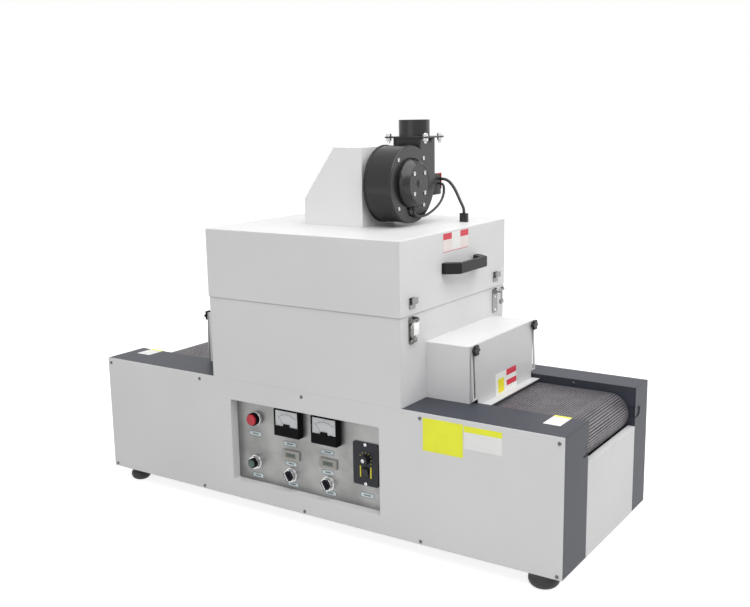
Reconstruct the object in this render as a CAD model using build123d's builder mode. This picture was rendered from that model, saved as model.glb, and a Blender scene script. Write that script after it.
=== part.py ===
from build123d import *
import math
import os

# Bench-top UV curing tunnel. X runs along the belt (exit at +X), Y from front to back, Z up.
# The origin is on the floor under the middle of the machine. All sizes are in millimetres.

# Base
base_length = 1100.0
base_depth = 422.0
base_height = 255.0
front_box_width = 107.0
back_box_width = 71.0
rail_sheet = 2.0
panel_sheet = 2.0
pan_sheet = 2.0
end_panel_height = 177.0
end_panel_return = 14.0
fit_gap = 0.3

# Feet
foot_height = 31.0
exit_foot_radius = 26.5
exit_foot_inset = 45.0
entry_foot_radius = 18.0
entry_foot_inset = 52.0
foot_inset_y = 29.0
foot_shoulder = 9.0
foot_tread_share = 0.5

# Belt and drums
drum_inset = 50.0
belt_drop = 15.5
belt_radius = 38.7
belt_thickness = 2.0
belt_side_gap = 4.0
drum_wall = 4.0
drum_end_setback = 2.0
shaft_radius = 7.5
shaft_clearance = 0.3
block_length = 30.0
block_depth = 12.0
block_proud = 1.0
take_up_height = 22.0
take_up_length = 68.0
take_up_rise = 3.5
take_up_depth = 27.0

# Control recess in the front panel
recess_left = -186.0
recess_right = 181.0
recess_bottom = 37.0
recess_top = 211.5
recess_depth = 20.0
recess_wall = 1.5
control_plate_sheet = 2.0
control_plate_lap = 9.0

# Controls, x from the machine's middle and z from the panel's lower edge
column_lamp = -137.0
column_left = -45.0
column_right = 48.0
column_speed = 138.0
row_lamp = 173.0
row_button = 80.0
row_meter = 180.0
row_counter = 110.0
row_selector = 69.0
row_speed_plate = 126.0
row_speed_knob = 135.5
row_rocker = 109.0
bezel_radius = 14.5
bezel_height = 12.5
bezel_step = 4.0
bezel_step_width = 1.8
lamp_radius = 11.5
lamp_height = 17.0
lamp_edge = 1.5
button_radius = 10.0
button_proud = 19.0
button_travel = 3.0
meter_width = 63.0
meter_height = 57.0
meter_proud = 15.5
meter_corner = 2.0
meter_rim = 2.5
meter_window_height = 33.0
meter_window_depth = 4.0
meter_step = 2.0
meter_notch_width = 15.0
meter_notch_height = 5.0
counter_width = 42.0
counter_height = 20.0
counter_proud = 3.5
counter_corner = 1.5
counter_window_width = 25.0
counter_window_height = 9.0
counter_window_depth = 1.0
selector_radius = 10.5
selector_collar = 14.0
selector_proud = 21.0
selector_grip_width = 7.0
selector_grip_length = 19.0
selector_rest_turn = 30.0
speed_plate_width = 58.0
speed_plate_height = 86.0
speed_plate_proud = 3.0
speed_plate_corner = 4.0
speed_knob_radius = 9.5
speed_knob_height = 13.0
rocker_width = 13.0
rocker_height = 18.0
rocker_proud = 5.0
rocker_well = 0.8
rocker_foot_height = 12.6
control_gap = 0.4
control_edge = 1.0

# Curing chamber and lid
chamber_length = 460.0
chamber_back_setback = 6.0
chamber_height = 169.0
chamber_sheet = 2.0
chamber_rim = 14.0
tunnel_height = 95.0
lid_height = 140.0
lid_overhang = 1.5
lid_gap = 0.3
fold_round = 1.5

# Hoods over the belt and their sliding shields
hood_length = 93.0
hood_height = 109.0
hood_rail_lap = 15.0
hood_sheet = 2.0
hood_flange = 17.0
shield_sheet = 2.0
shield_tilt = 2.5
shield_stand_off = 0.8
shield_slot_width = 6.6
shield_slot_inset = 9.0
shield_travel = 90.0
shield_rail_clearance = 5.5
shield_belt_clearance = 6.0
shield_side_clearance = 5.5
shield_lip = 18.0
knob_drop = 7.5
knob_radius = 11.0
knob_lobe_radius = 3.6
knob_lobes = 6
knob_thickness = 8.0
knob_collar_radius = 6.0
knob_collar_height = 3.0
knob_gap = 1.0
knob_edge = 1.0
stud_radius = 2.5
stud_clearance = 0.3
stud_reach = 8.0

# Lid handles
handle_pitch = 128.0
handle_centre_y = 11.0
handle_drop = 70.0
handle_reach = 33.0
handle_slope = 20.0
handle_height = 21.0
handle_thickness = 8.0
handle_foot = 16.0
handle_edge = 2.0

# Latches
latch_spread = 336.0
latch_plate_width = 22.0
latch_plate_top = 2.5
latch_plate_height = 52.0
latch_plate_thickness = 1.5
latch_pin_drop = 9.0
latch_pin_out = 7.0
latch_pin_radius = 1.5
latch_ear_width = 1.2
latch_ear_radius = 4.5
lever_length = 27.0
lever_top = 4.0
lever_width = 17.0
lever_thickness = 1.5
lever_lift = 3.8
lever_cheek_width = 1.2
lever_cheek_radius = 3.2
bar_pin_offset = 11.0
bar_pin_radius = 1.2
bar_width = 5.0
bar_thickness = 1.5
bar_length = 26.0
bar_eye_radius = 2.4
claw_width = 11.0
claw_height = 9.0
claw_depth = 5.0
claw_corner = 1.8
keeper_rise = 22.0
keeper_width = 20.0
keeper_height = 21.0
keeper_thickness = 1.5
keeper_hook_out = 8.0
keeper_hook_height = 13.0
keeper_bend = 2.5

# Duct box on the lid
duct_left = -93.0
duct_right = 50.0
duct_depth = 120.0
duct_height = 157.0
duct_slope_start = 53.0
duct_slope_inset = 76.0

# Blower on the duct box
blower_top_radius = 73.5
blower_side_radius = 76.5
blower_radius = 78.5
blower_growth = 14.5
blower_width = 63.0
blower_axis_height = 86.0
blower_flange_height = 176.0
blower_throat = 57.0
blower_throat_bore = 25.0
blower_rim = 1.5
blower_back_rim = 3.0
blower_front_rim = 9.0
blower_edge_round = 2.5
inlet_collar_radius = 50.0
inlet_collar_length = 15.0
cover_radius = 50.0
cover_nose_radius = 38.0
cover_height = 19.0
cover_rim_height = 5.0
cover_edge = 2.0
hub_radius = 8.0
hub_height = 1.5
flange_length = 100.0
flange_width = 80.0
flange_thickness = 3.0
flange_corner = 9.0
stub_radius = 31.5
stub_wall = 2.0
stub_height = 33.0
throat_depth = 60.0
terminal_length = 34.0
terminal_depth = 30.0
terminal_height = 43.0
terminal_drop = 9.5
terminal_setback = 4.0
terminal_corner = 3.0

# Leads of the blower
lead_radius = 2.5
supply_lead_radius = 3.0
plug_width = 17.0
plug_depth = 9.0
plug_height = 18.0
plug_corner = 1.5
bend_share = 0.45
gland_radius = 4.5
gland_drop = 4.0
gland_y = -2.0
gland_stand_off = 6.5

# Lamps and reflectors inside the lid
lamp_pitch = 190.0
lamp_tube_radius = 11.0
lamp_rise = 22.0
reflector_width = 104.0
reflector_rise = 62.0
reflector_sheet = 2.0
reflector_end = 3.0
lamp_tube_rise = 20.7

# Levels and planes worked out from the sizes above
pan_bottom = foot_height
rail_top = foot_height + base_height
front = -base_depth / 2
back = base_depth / 2
end = base_length / 2
channel_front = front + front_box_width
channel_back = back - back_box_width
channel_middle = (channel_front + channel_back) / 2
channel_width = channel_back - channel_front
belt_top = rail_top - belt_drop
drum_z = belt_top - belt_radius
drum_x = end - drum_inset
drum_spacing = 2 * drum_x
belt_inner_radius = belt_radius - belt_thickness
drum_radius = belt_inner_radius - fit_gap
belt_width = channel_width - 2 * belt_side_gap
take_up_z = drum_z + take_up_rise
chamber_end = chamber_length / 2
chamber_back = back - chamber_back_setback
chamber_depth = chamber_back - front
chamber_middle = (front + chamber_back) / 2
seam = rail_top + chamber_height
lid_bottom = seam + lid_gap
lid_top = lid_bottom + lid_height
lid_end = chamber_end + lid_overhang
lid_depth = chamber_depth + 2 * lid_overhang
hood_end = chamber_end + hood_length
hood_top = rail_top + hood_height
hood_width = channel_width + 2 * hood_rail_lap
knob_z = hood_top - knob_drop
knob_spread = hood_width - 2 * shield_slot_inset
plate_face = front + recess_depth


def save(part, name):
    part.label = name
    export_step(part, f"parts/{name}.step")


# Profile plane at one end of the machine: x points outwards, y up. side is +1 at the exit.
# A turn, in radians, swings what hangs down outwards and up.
def profile_plane(side, x, y, z, turn=0.0):
    out = (side * math.cos(turn), 0, math.sin(turn))
    return Plane(origin=(side * x, y, z), x_dir=out, z_dir=(0, -side, 0))


# Plane that faces outwards at one end of the machine.
def outward_plane(side, x, y, z):
    return Plane(origin=(side * x, y, z), x_dir=(0, side, 0), z_dir=(side, 0, 0))


# Plane of the control plate's face, seen from the front, at a height above the panel's edge.
def control_plane(x, row, proud=0.0):
    origin = (x, plate_face - proud, pan_bottom + row)
    return Plane(origin=origin, x_dir=(1, 0, 0), z_dir=(0, -1, 0))


os.makedirs("parts", exist_ok=True)
ends = {"exit": 1, "entry": -1}

# Front panel with the folded recess round the controls
recess_x = (recess_left + recess_right) / 2
recess_z = pan_bottom + (recess_bottom + recess_top) / 2
recess_width = recess_right - recess_left
recess_height = recess_top - recess_bottom
panel_back = front + panel_sheet
with BuildPart() as front_panel:
    with BuildSketch(Plane.XZ.offset(-panel_back)) as outline:
        with Locations((0, pan_bottom + base_height / 2)):
            Rectangle(base_length, base_height)
    extrude(amount=panel_sheet)
    with BuildSketch(Plane.XZ.offset(-plate_face)) as fold:
        with Locations((recess_x, recess_z)):
            Rectangle(recess_width + 2 * recess_wall, recess_height + 2 * recess_wall)
    extrude(amount=recess_depth)
    with BuildSketch(Plane.XZ.offset(-plate_face)) as opening:
        with Locations((recess_x, recess_z)):
            RectangleRounded(recess_width, recess_height, 2 * recess_wall)
    extrude(amount=recess_depth, mode=Mode.SUBTRACT)
save(front_panel.part, "front_panel")

# Steel plate that carries the controls, behind the recess
with BuildPart() as control_plate:
    with BuildSketch(Plane.XZ.offset(-plate_face)):
        with Locations((recess_x, recess_z)):
            Rectangle(recess_width + 2 * control_plate_lap, recess_height + 2 * control_plate_lap)
    extrude(amount=-control_plate_sheet)
save(control_plate.part, "control_plate")

# Back panel
with BuildPart() as back_panel:
    with BuildSketch(Plane.XZ.offset(-back)):
        with Locations((0, pan_bottom + base_height / 2)):
            Rectangle(base_length, base_height)
    extrude(amount=panel_sheet)
save(back_panel.part, "back_panel")

# Bottom pan
with BuildPart() as bottom_pan:
    with BuildSketch(Plane.XY.offset(pan_bottom)):
        Rectangle(base_length - 2 * (rail_sheet + fit_gap), base_depth - 2 * (panel_sheet + fit_gap))
    extrude(amount=pan_sheet)
save(bottom_pan.part, "bottom_pan")


# Folded side box: a top, an inner wall and two end posts, open at the outside and below,
# with a take-up slot for the drum shaft at each end of the inner wall.
def side_box(outer_face, inner_face):
    depth = abs(inner_face - outer_face) - panel_sheet
    inwards = 1 if inner_face > outer_face else -1
    middle = inner_face - inwards * depth / 2
    hollow_middle = middle - inwards * rail_sheet / 2
    with BuildPart() as box:
        with BuildSketch(Plane.XY.offset(pan_bottom)):
            with Locations((0, middle)):
                Rectangle(base_length, depth)
        extrude(amount=base_height)
        with BuildSketch(Plane.XY.offset(pan_bottom)):
            with Locations((0, hollow_middle)):
                Rectangle(base_length - 2 * rail_sheet, depth - rail_sheet)
        extrude(amount=base_height - rail_sheet, mode=Mode.SUBTRACT)
        with BuildSketch(Plane.XY.offset(pan_bottom)):
            with Locations((0, inner_face)):
                Rectangle(base_length - 2 * rail_sheet, 3 * rail_sheet)
        extrude(amount=pan_sheet, mode=Mode.SUBTRACT)
        for side in ends.values():
            slot_middle = side * (end - take_up_length / 2)
            with BuildSketch(Plane.XZ.offset(-inner_face)):
                with Locations((slot_middle, take_up_z)):
                    Rectangle(take_up_length, take_up_height)
            extrude(amount=2 * rail_sheet, both=True, mode=Mode.SUBTRACT)
            with BuildSketch(outward_plane(side, end, inner_face, take_up_z)):
                SlotOverall(2 * take_up_depth, take_up_height)
            extrude(amount=2 * rail_sheet, both=True, mode=Mode.SUBTRACT)
    return box.part


save(side_box(front, channel_front), "front_rail")
save(side_box(back, channel_back), "back_rail")

# End panels between the posts, folded inwards at the top
with BuildPart() as end_panels:
    with BuildSketch(Plane.XZ.offset(-channel_middle)):
        with BuildLine():
            outer = end
            inner = end - panel_sheet
            Polyline(
                (outer, pan_bottom),
                (outer, pan_bottom + end_panel_height),
                (outer - end_panel_return, pan_bottom + end_panel_height),
                (outer - end_panel_return, pan_bottom + end_panel_height - panel_sheet),
                (inner, pan_bottom + end_panel_height - panel_sheet),
                (inner, pan_bottom),
                close=True,
            )
        make_face()
    extrude(amount=(channel_width - 2 * fit_gap) / 2, both=True)
    mirror(about=Plane.YZ)
save(end_panels.part, "end_panels")

# Rubber feet: a short shoulder under the pan, rounded in towards the tread. The exit pair is larger.
with BuildPart() as feet:
    for x, radius in ((end - exit_foot_inset, exit_foot_radius),
                      (entry_foot_inset - end, entry_foot_radius)):
        for y in (front + foot_inset_y, back - foot_inset_y):
            tread = radius * foot_tread_share
            with BuildSketch(Plane(origin=(x, y, 0), x_dir=(1, 0, 0), z_dir=(0, -1, 0))):
                with BuildLine():
                    Polyline((0, 0), (tread, 0))
                    TangentArc((tread, 0), (radius, foot_height - foot_shoulder), tangent=(1, 0))
                    Polyline(
                        (radius, foot_height - foot_shoulder),
                        (radius, foot_height),
                        (0, foot_height),
                        (0, 0),
                    )
                make_face()
            revolve(axis=Axis((x, y, 0), (0, 0, 1)))
save(feet.part, "feet")

# Belt: one loop round both drums
with BuildPart() as belt:
    with BuildSketch(Plane.XZ.offset(-channel_middle)):
        with Locations((0, drum_z)):
            SlotCenterToCenter(drum_spacing, 2 * belt_radius)
            SlotCenterToCenter(drum_spacing, 2 * belt_inner_radius, mode=Mode.SUBTRACT)
    extrude(amount=belt_width / 2, both=True)
save(belt.part, "belt")

# Drums: a tube with end discs on a through shaft
drum_length = belt_width - 2 * drum_end_setback
shaft_length = channel_width + 2 * (block_depth - block_proud - drum_end_setback)
for name, side in ends.items():
    drum_plane = Plane(origin=(side * drum_x, channel_middle, drum_z), z_dir=(0, 1, 0))
    with BuildPart() as drum:
        with BuildSketch(drum_plane):
            Circle(drum_radius)
            Circle(drum_radius - drum_wall, mode=Mode.SUBTRACT)
        extrude(amount=drum_length / 2, both=True)
        with BuildSketch(drum_plane.offset(-drum_length / 2), drum_plane.offset(drum_length / 2 - drum_wall)):
            Circle(drum_radius)
        extrude(amount=drum_wall)
        with BuildSketch(drum_plane):
            Circle(shaft_radius)
        extrude(amount=shaft_length / 2, both=True)
    save(drum.part, f"drum_{name}")

# Shaft blocks in the take-up slots
with BuildPart() as shaft_blocks:
    for inner_face, inwards in ((channel_front, 1), (channel_back, -1)):
        block_middle = inner_face + inwards * (block_proud - block_depth / 2)
        for side in ends.values():
            with BuildSketch(Plane.XZ.offset(-block_middle)):
                with Locations((side * drum_x, take_up_z)):
                    Rectangle(block_length, take_up_height - 2 * fit_gap)
                with Locations((side * drum_x, drum_z)):
                    Circle(shaft_radius + shaft_clearance, mode=Mode.SUBTRACT)
            extrude(amount=block_depth / 2, both=True)
save(shaft_blocks.part, "shaft_blocks")

# Chamber: four walls with an inward rim under the lid and a tunnel cut in each end
with BuildPart() as chamber:
    with BuildSketch(Plane.XY.offset(rail_top)):
        with Locations((0, chamber_middle)):
            Rectangle(chamber_length, chamber_depth)
    extrude(amount=chamber_height)
    with BuildSketch(Plane.XY.offset(rail_top)):
        with Locations((0, chamber_middle)):
            Rectangle(chamber_length - 2 * chamber_sheet, chamber_depth - 2 * chamber_sheet)
    extrude(amount=chamber_height - chamber_sheet, mode=Mode.SUBTRACT)
    with BuildSketch(Plane.XY.offset(seam)):
        with Locations((0, chamber_middle)):
            Rectangle(chamber_length - 2 * chamber_rim, chamber_depth - 2 * chamber_rim)
    extrude(amount=-2 * chamber_sheet, mode=Mode.SUBTRACT)
    with BuildSketch(Plane.YZ):
        with Locations((channel_middle, rail_top + tunnel_height / 2)):
            Rectangle(channel_width, tunnel_height)
    extrude(amount=chamber_length, both=True, mode=Mode.SUBTRACT)
    fillet(chamber.faces().sort_by(Axis.Z)[-1].outer_wire().edges(), fold_round)
save(chamber.part, "chamber")

# Hoods: top and two sides, with a flange each side of the mouth for the shield's studs
for name, side in ends.items():
    with BuildPart() as hood:
        mouth = outward_plane(side, hood_end, channel_middle, rail_top)
        with BuildSketch(mouth):
            with Locations((0, hood_height / 2)):
                Rectangle(hood_width, hood_height)
        extrude(amount=-hood_length)
        with BuildSketch(mouth.offset(-hood_sheet)):
            with Locations((0, (hood_height - hood_sheet) / 2)):
                Rectangle(hood_width - 2 * hood_sheet, hood_height - hood_sheet)
        extrude(amount=-hood_length, mode=Mode.SUBTRACT)
        with BuildSketch(mouth):
            with Locations((0, (hood_height - hood_sheet) / 2)):
                Rectangle(hood_width - 2 * hood_flange, hood_height - hood_sheet)
        extrude(amount=-2 * hood_sheet, mode=Mode.SUBTRACT)
        with BuildSketch(outward_plane(side, hood_end, channel_middle, knob_z)):
            with Locations((-knob_spread / 2, 0), (knob_spread / 2, 0)):
                Circle(stud_radius + stud_clearance)
        extrude(amount=-2 * hood_sheet, mode=Mode.SUBTRACT)
        fillet(hood.faces().sort_by(Axis.Z)[-1].edges().filter_by(Axis.X), fold_round)
    save(hood.part, f"hood_{name}")

# Shields: a slotted plate hung on the studs, leaning out a little, with a folded lip
tilt = math.radians(shield_tilt)
shield_top = shield_stand_off + shield_sheet
shield_drop = (hood_height - shield_rail_clearance) / math.cos(tilt)
lip_drop = (hood_top - belt_top - shield_belt_clearance) / math.cos(tilt)
tongue_width = channel_width - 2 * shield_side_clearance
slot_top = knob_drop - shield_slot_width / 2
slot_length = shield_travel + shield_slot_width
for name, side in ends.items():
    face = Plane(
        origin=(side * (hood_end + shield_stand_off), channel_middle, hood_top),
        x_dir=(0, side, 0),
        z_dir=(side * math.cos(tilt), 0, math.sin(tilt)),
    )
    with BuildPart() as shield:
        with BuildSketch(face):
            with Locations((0, -shield_drop / 2)):
                Rectangle(hood_width, shield_drop)
            with Locations((0, -lip_drop / 2)):
                Rectangle(tongue_width, lip_drop)
            with Locations((-knob_spread / 2, -slot_top - slot_length / 2),
                           (knob_spread / 2, -slot_top - slot_length / 2)):
                SlotOverall(slot_length, shield_slot_width, rotation=90, mode=Mode.SUBTRACT)
        extrude(amount=shield_sheet)
        with BuildSketch(face):
            with Locations((0, -lip_drop + shield_sheet / 2)):
                Rectangle(tongue_width, shield_sheet)
        extrude(amount=shield_sheet + shield_lip)
    save(shield.part, f"shield_{name}")

# Star knobs with their studs
knob_x = hood_end + shield_top + knob_drop * math.tan(tilt) + knob_gap
knob_waist = knob_radius - knob_lobe_radius / 2
for name, side in ends.items():
    for place, across in (("front", -1), ("back", 1)):
        knob_y = channel_middle + across * knob_spread / 2
        seat = outward_plane(side, knob_x, knob_y, knob_z)
        with BuildPart() as knob:
            with BuildSketch(seat):
                Circle(knob_collar_radius)
            extrude(amount=knob_collar_height)
            with BuildSketch(seat.offset(knob_collar_height)):
                Circle(knob_waist - knob_lobe_radius / 2)
                with PolarLocations(knob_radius - knob_lobe_radius, knob_lobes):
                    Circle(knob_lobe_radius)
            extrude(amount=knob_thickness - knob_collar_height)
            knob_face = knob.faces().sort_by(Axis.X if side > 0 else -Axis.X)[-1]
            chamfer(knob_face.edges(), knob_edge)
            with BuildSketch(seat):
                Circle(stud_radius)
            extrude(amount=-stud_reach)
        save(knob.part, f"star_knob_{name}_{place}")

# Lid: a box without a bottom
with BuildPart() as lid:
    with BuildSketch(Plane.XY.offset(lid_bottom)):
        with Locations((0, chamber_middle)):
            Rectangle(2 * lid_end, lid_depth)
    extrude(amount=lid_height)
    with BuildSketch(Plane.XY.offset(lid_bottom)):
        with Locations((0, chamber_middle)):
            Rectangle(2 * (lid_end - chamber_sheet), lid_depth - 2 * chamber_sheet)
    extrude(amount=lid_height - chamber_sheet, mode=Mode.SUBTRACT)
    fillet(lid.faces().sort_by(Axis.Z)[-1].edges(), fold_round)
save(lid.part, "lid")

# Lid handles: a bow with sloping ends
handle_z = lid_top - handle_drop
half_pitch = handle_pitch / 2
with BuildPart() as lid_handles:
    handle_plane = Plane.XY.offset(handle_z - handle_height / 2)
    with BuildSketch(handle_plane):
        with BuildLine():
            bow_foot = half_pitch + handle_foot / 2
            bow_elbow = half_pitch + handle_foot / 2 - handle_slope
            inside = handle_foot / 2 + handle_thickness / 2
            Polyline(
                (lid_end, handle_centre_y - bow_foot),
                (lid_end + handle_thickness, handle_centre_y - bow_foot),
                (lid_end + handle_reach, handle_centre_y - bow_elbow),
                (lid_end + handle_reach, handle_centre_y + bow_elbow),
                (lid_end + handle_thickness, handle_centre_y + bow_foot),
                (lid_end, handle_centre_y + bow_foot),
                (lid_end, handle_centre_y + bow_foot - handle_foot),
                (lid_end + handle_reach - handle_thickness, handle_centre_y + bow_elbow - inside),
                (lid_end + handle_reach - handle_thickness, handle_centre_y - bow_elbow + inside),
                (lid_end, handle_centre_y - bow_foot + handle_foot),
                close=True,
            )
        make_face()
    extrude(amount=handle_height)
    outer_face = lid_handles.faces().sort_by(Axis.X)[-1]
    fillet(outer_face.edges().filter_by(Axis.Y), handle_edge)
    mirror(about=Plane.YZ)
save(lid_handles.part, "lid_handles")

# Latches
latch_rows = {
    "front": chamber_middle - latch_spread / 2,
    "back": chamber_middle + latch_spread / 2,
}
pin_x = chamber_end + latch_pin_out
pin_z = seam - latch_pin_drop
ear_inside = lever_width / 2 + control_gap

# Base plates with two ears and the lever pin
with BuildPart() as latch_plates:
    for side in ends.values():
        for row in latch_rows.values():
            plate_z = seam - latch_plate_top - latch_plate_height / 2
            with BuildSketch(outward_plane(side, chamber_end, row, plate_z)):
                RectangleRounded(latch_plate_width, latch_plate_height, latch_plate_width / 4)
            extrude(amount=latch_plate_thickness)
            middle_plane = profile_plane(side, pin_x, row, pin_z)
            for ear_offset in (ear_inside, -ear_inside - latch_ear_width):
                with BuildSketch(middle_plane.offset(ear_offset)):
                    Circle(latch_ear_radius)
                    with Locations((-latch_pin_out / 2, 0)):
                        Rectangle(latch_pin_out, 2 * latch_ear_radius)
                extrude(amount=latch_ear_width)
            with BuildSketch(middle_plane):
                Circle(latch_pin_radius)
            extrude(amount=ear_inside + latch_ear_width, both=True)
save(latch_plates.part, "latch_plates")

# Levers, open or folded down: a face plate between two cheeks, with a clawed draw bar hung from each
lever_opening = {("exit", "front"): 0.0, ("exit", "back"): 120.0,
                 ("entry", "front"): 75.0, ("entry", "back"): 0.0}
cheek_inside = lever_width / 2 - lever_cheek_width
for (name, row_name), opening in lever_opening.items():
    side = ends[name]
    row = latch_rows[row_name]
    turn = math.radians(opening)
    lever_plane = profile_plane(side, pin_x, row, pin_z, turn)
    with BuildPart() as lever:
        with BuildSketch(lever_plane):
            with Locations((lever_lift, -(lever_length + lever_top) / 2)):
                Rectangle(lever_thickness, lever_length - lever_top)
        extrude(amount=lever_width / 2, both=True)
        for cheek_offset in (cheek_inside, -lever_width / 2):
            with BuildSketch(lever_plane.offset(cheek_offset)):
                Circle(lever_cheek_radius)
                with Locations((0, -bar_pin_offset)):
                    Circle(lever_cheek_radius)
                with Locations((lever_lift / 2, -bar_pin_offset / 2 - lever_top / 2)):
                    Rectangle(lever_lift + lever_thickness, bar_pin_offset)
                Circle(latch_pin_radius + control_gap, mode=Mode.SUBTRACT)
                with Locations((0, -bar_pin_offset)):
                    Circle(bar_pin_radius + control_gap, mode=Mode.SUBTRACT)
            extrude(amount=lever_cheek_width)
    save(lever.part, f"latch_lever_{name}_{row_name}")
    bar_x = pin_x + bar_pin_offset * math.sin(turn)
    bar_z = pin_z - bar_pin_offset * math.cos(turn)
    bar_plane = profile_plane(side, bar_x, row, bar_z)
    with BuildPart() as bar:
        with BuildSketch(bar_plane):
            Circle(bar_pin_radius)
        extrude(amount=lever_width / 2, both=True)
        with BuildSketch(bar_plane):
            Circle(bar_eye_radius)
            with Locations((0, -bar_length / 2)):
                Rectangle(bar_thickness, bar_length)
        extrude(amount=bar_width / 2, both=True)
        with BuildSketch(profile_plane(side, bar_x, row, bar_z - bar_length)):
            RectangleRounded(claw_depth, claw_height, claw_corner)
        extrude(amount=claw_width / 2, both=True)
    save(bar.part, f"latch_bar_{name}_{row_name}")

# Keepers on the lid: a base plate with an upturned hook for the claw
with BuildPart() as lid_keepers:
    for side in ends.values():
        for row in latch_rows.values():
            with BuildSketch(profile_plane(side, lid_end, row, lid_bottom + keeper_rise)):
                half = keeper_height / 2
                hook_bottom = half - keeper_hook_height
                hook_inside = keeper_hook_out - keeper_thickness
                with Locations((keeper_thickness / 2, 0)):
                    Rectangle(keeper_thickness, keeper_height)
                with BuildLine():
                    Polyline(
                        (0, hook_bottom),
                        (keeper_hook_out - keeper_bend, hook_bottom),
                        (keeper_hook_out, hook_bottom + keeper_bend),
                        (keeper_hook_out, half),
                        (hook_inside, half),
                        (hook_inside, hook_bottom + keeper_bend),
                        (keeper_hook_out - keeper_bend, hook_bottom + keeper_thickness),
                        (0, hook_bottom + keeper_thickness),
                        close=True,
                    )
                make_face()
            extrude(amount=keeper_width / 2, both=True)
save(lid_keepers.part, "lid_keepers")

# Duct box with a sloping entry side
with BuildPart() as duct_box:
    with BuildSketch(Plane.XZ):
        with BuildLine():
            Polyline(
                (duct_left, lid_top),
                (duct_right, lid_top),
                (duct_right, lid_top + duct_height),
                (duct_left + duct_slope_inset, lid_top + duct_height),
                (duct_left, lid_top + duct_slope_start),
                close=True,
            )
        make_face()
    extrude(amount=duct_depth / 2, both=True)
save(duct_box.part, "duct_box")

# Blower scroll with its throat, seam rims and inlet collar
blower_z = lid_top + blower_axis_height
scroll_start = duct_right + inlet_collar_length
flange_z = lid_top + blower_flange_height - flange_thickness
throat_right = blower_radius + blower_growth
throat_left = throat_right - blower_throat
throat_middle = (throat_left + throat_right) / 2
throat_x = scroll_start + blower_width / 2
mid_growth = (blower_radius + blower_growth / 2) * math.sqrt(0.5)
scroll_plane = Plane(origin=(scroll_start, 0, blower_z), x_dir=(0, 1, 0), z_dir=(1, 0, 0))
with BuildSketch() as scroll_outline:
    with BuildLine():
        shoulder = math.sqrt(blower_top_radius ** 2 - throat_left ** 2)
        ThreePointArc((throat_left, shoulder), (-blower_side_radius, 0), (0, -blower_radius))
        ThreePointArc((0, -blower_radius), (mid_growth, -mid_growth), (throat_right, 0))
        Polyline(
            (throat_right, 0),
            (throat_right, flange_z - blower_z),
            (throat_left, flange_z - blower_z),
            (throat_left, shoulder),
        )
    make_face()
with BuildSketch() as rim_outline:
    with BuildLine():
        rim_left = throat_left - blower_rim
        rim_shoulder = math.sqrt((blower_top_radius + blower_rim) ** 2 - rim_left ** 2)
        rim_side = blower_side_radius + blower_rim
        rim_bottom = blower_radius + blower_rim
        rim_growth = mid_growth + blower_rim * math.sqrt(0.5)
        ThreePointArc((rim_left, rim_shoulder), (-rim_side, 0), (0, -rim_bottom))
        ThreePointArc((0, -rim_bottom), (rim_growth, -rim_growth), (throat_right + blower_rim, 0))
        Polyline(
            (throat_right + blower_rim, 0),
            (throat_right + blower_rim, flange_z - blower_z),
            (rim_left, flange_z - blower_z),
            (rim_left, rim_shoulder),
        )
    make_face()
with BuildPart() as blower_housing:
    with BuildSketch(scroll_plane):
        add(scroll_outline.sketch)
    extrude(amount=blower_width)
    with BuildSketch(scroll_plane):
        add(rim_outline.sketch)
    extrude(amount=blower_back_rim)
    with BuildSketch(scroll_plane.offset(blower_width - blower_front_rim)):
        add(rim_outline.sketch)
    extrude(amount=blower_front_rim)
    fillet(blower_housing.faces().sort_by(Axis.X)[-1].edges(), blower_edge_round)
    with BuildSketch(scroll_plane):
        Circle(inlet_collar_radius)
    extrude(amount=-inlet_collar_length)
    with BuildSketch(Plane.XY.offset(flange_z)):
        with Locations((throat_x, throat_middle)):
            Circle(blower_throat_bore)
    extrude(amount=-throat_depth, mode=Mode.SUBTRACT)
save(blower_housing.part, "blower_housing")

# Dished motor cover on the blower's face
cover_x = scroll_start + blower_width
gland_x = cover_x + gland_stand_off
gland_bottom = blower_z - cover_radius - gland_drop
cover_plane = Plane(origin=(cover_x, 0, blower_z), x_dir=(1, 0, 0), z_dir=(0, -1, 0))
with BuildPart() as motor_cover:
    with BuildSketch(cover_plane):
        with BuildLine():
            Polyline(
                (0, 0),
                (0, cover_radius),
                (cover_rim_height - cover_edge, cover_radius),
                (cover_rim_height, cover_radius - cover_edge),
                (cover_height, cover_nose_radius),
                (cover_height, hub_radius),
                (cover_height + hub_height, hub_radius),
                (cover_height + hub_height, 0),
                close=True,
            )
        make_face()
    revolve(axis=Axis((cover_x, 0, blower_z), (1, 0, 0)))
    with BuildSketch(Plane.XY.offset(gland_bottom)):
        with Locations((gland_x, gland_y)):
            Circle(gland_radius)
    extrude(amount=2 * gland_drop)
save(motor_cover.part, "motor_cover")

# Outlet collar: bolted flange with the round stub
with BuildPart() as outlet_collar:
    with BuildSketch(Plane.XY.offset(flange_z)):
        with Locations((throat_x, throat_middle)):
            RectangleRounded(flange_length, flange_width, flange_corner)
    extrude(amount=flange_thickness)
    with BuildSketch(Plane.XY.offset(flange_z + flange_thickness)):
        with Locations((throat_x, throat_middle)):
            Circle(stub_radius)
    extrude(amount=stub_height)
    with BuildSketch(Plane.XY.offset(flange_z)):
        with Locations((throat_x, throat_middle)):
            Circle(stub_radius - stub_wall)
    extrude(amount=flange_thickness + stub_height, mode=Mode.SUBTRACT)
save(outlet_collar.part, "outlet_collar")

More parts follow.
